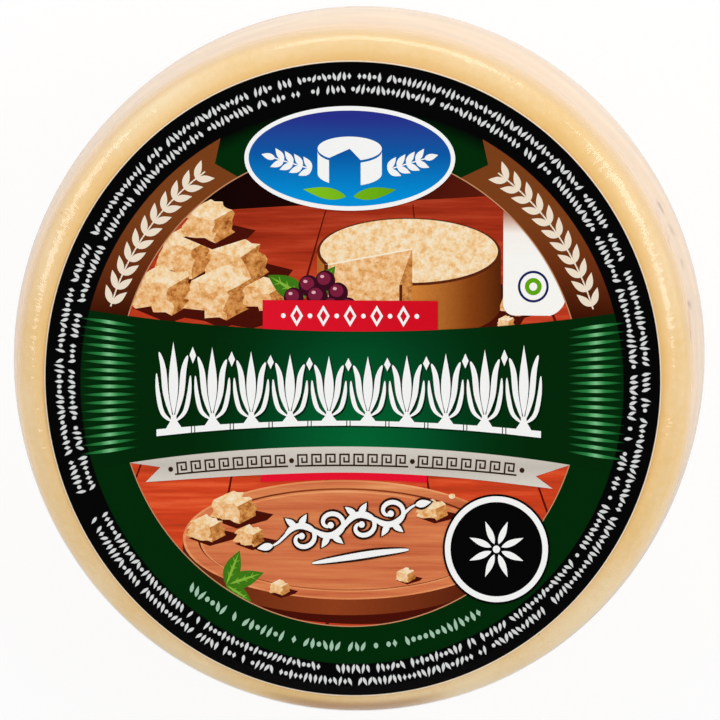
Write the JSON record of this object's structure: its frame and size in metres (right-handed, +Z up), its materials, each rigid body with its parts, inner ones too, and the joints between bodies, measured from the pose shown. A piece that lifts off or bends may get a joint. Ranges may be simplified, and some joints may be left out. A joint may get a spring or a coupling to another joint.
{
  "type": "whole parmesan cheese wheel in clear film",
  "caption": "Small whole parmesan wheel, shrink-wrapped in clear film, with a round printed label lying on its flat upper face.",
  "frame": {"origin": "middle of the wheel's lower face, on the surface it stands on", "axes": "+Z up, out of the labelled face; +Y towards the upper edge of the label's print; +X to the print's right"},
  "size_m": [0.2072, 0.2108, 0.0846],
  "materials": {
    "cheese_in_film": "straw-coloured cheese rind under tight clear film, glossy, with fine wrinkles and soft highlights",
    "printed_paper": "smooth printed paper with a pale cut edge, satin varnish"
  },
  "bodies": {
    "root": {"wrapped_cheese_wheel": "cheese_in_film", "label": "printed_paper"}
  },
  "joints": []
}
